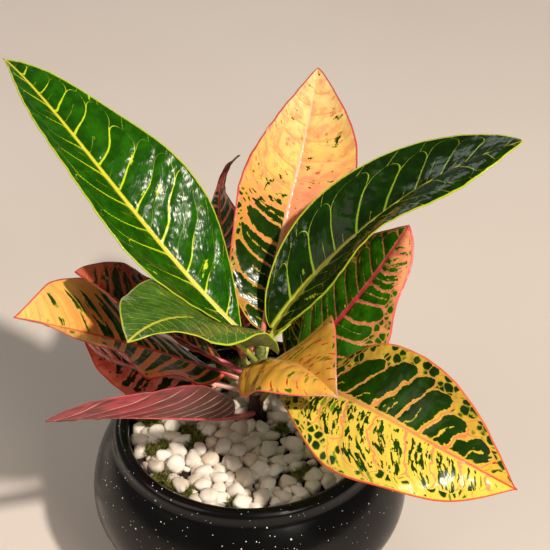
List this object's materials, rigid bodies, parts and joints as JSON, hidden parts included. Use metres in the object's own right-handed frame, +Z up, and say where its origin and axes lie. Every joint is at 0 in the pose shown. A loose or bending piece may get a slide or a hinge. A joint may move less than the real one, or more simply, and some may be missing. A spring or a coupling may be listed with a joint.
{
  "type": "potted croton",
  "caption": "Potted croton: a black glazed bowl of soil and white pebbles, with a short woody stem and large variegated leaves.",
  "frame": {"origin": "centre of the pot's flat foot, where it stands on a surface", "axes": "+Z up out of the pot; -Y is the front, towards the picture's camera; +X to the right seen from the front"},
  "size_m": [0.3184, 0.2892, 0.2794],
  "materials": {
    "pot_glaze": "gloss",
    "soil": "matte",
    "pebbles": "satin",
    "moss": "matte",
    "stem_bark": "matte",
    "leaf_green": "gloss",
    "leaf_gold": "gloss",
    "leaf_red": "gloss"
  },
  "bodies": {
    "root": {"pot": "pot_glaze", "soil": "soil", "pebble_bed": "pebbles", "stem": "stem_bark", "leaf_upper_left": "leaf_green", "leaf_upright": "leaf_gold", "leaf_upper_right": "leaf_green", "leaf_mid_right": "leaf_green", "leaf_lower_right": "leaf_gold", "leaf_front_orange": "leaf_gold", "leaf_front_left": "leaf_green", "leaf_left": "leaf_red", "leaf_left_back": "leaf_red", "leaf_lower_left": "leaf_red", "leaf_low_front": "leaf_red", "leaf_back_narrow": "leaf_red", "leaf_rear_right": "leaf_green", "leaf_rear": "leaf_green", "leaf_rear_left": "leaf_red"}
  },
  "joints": []
}
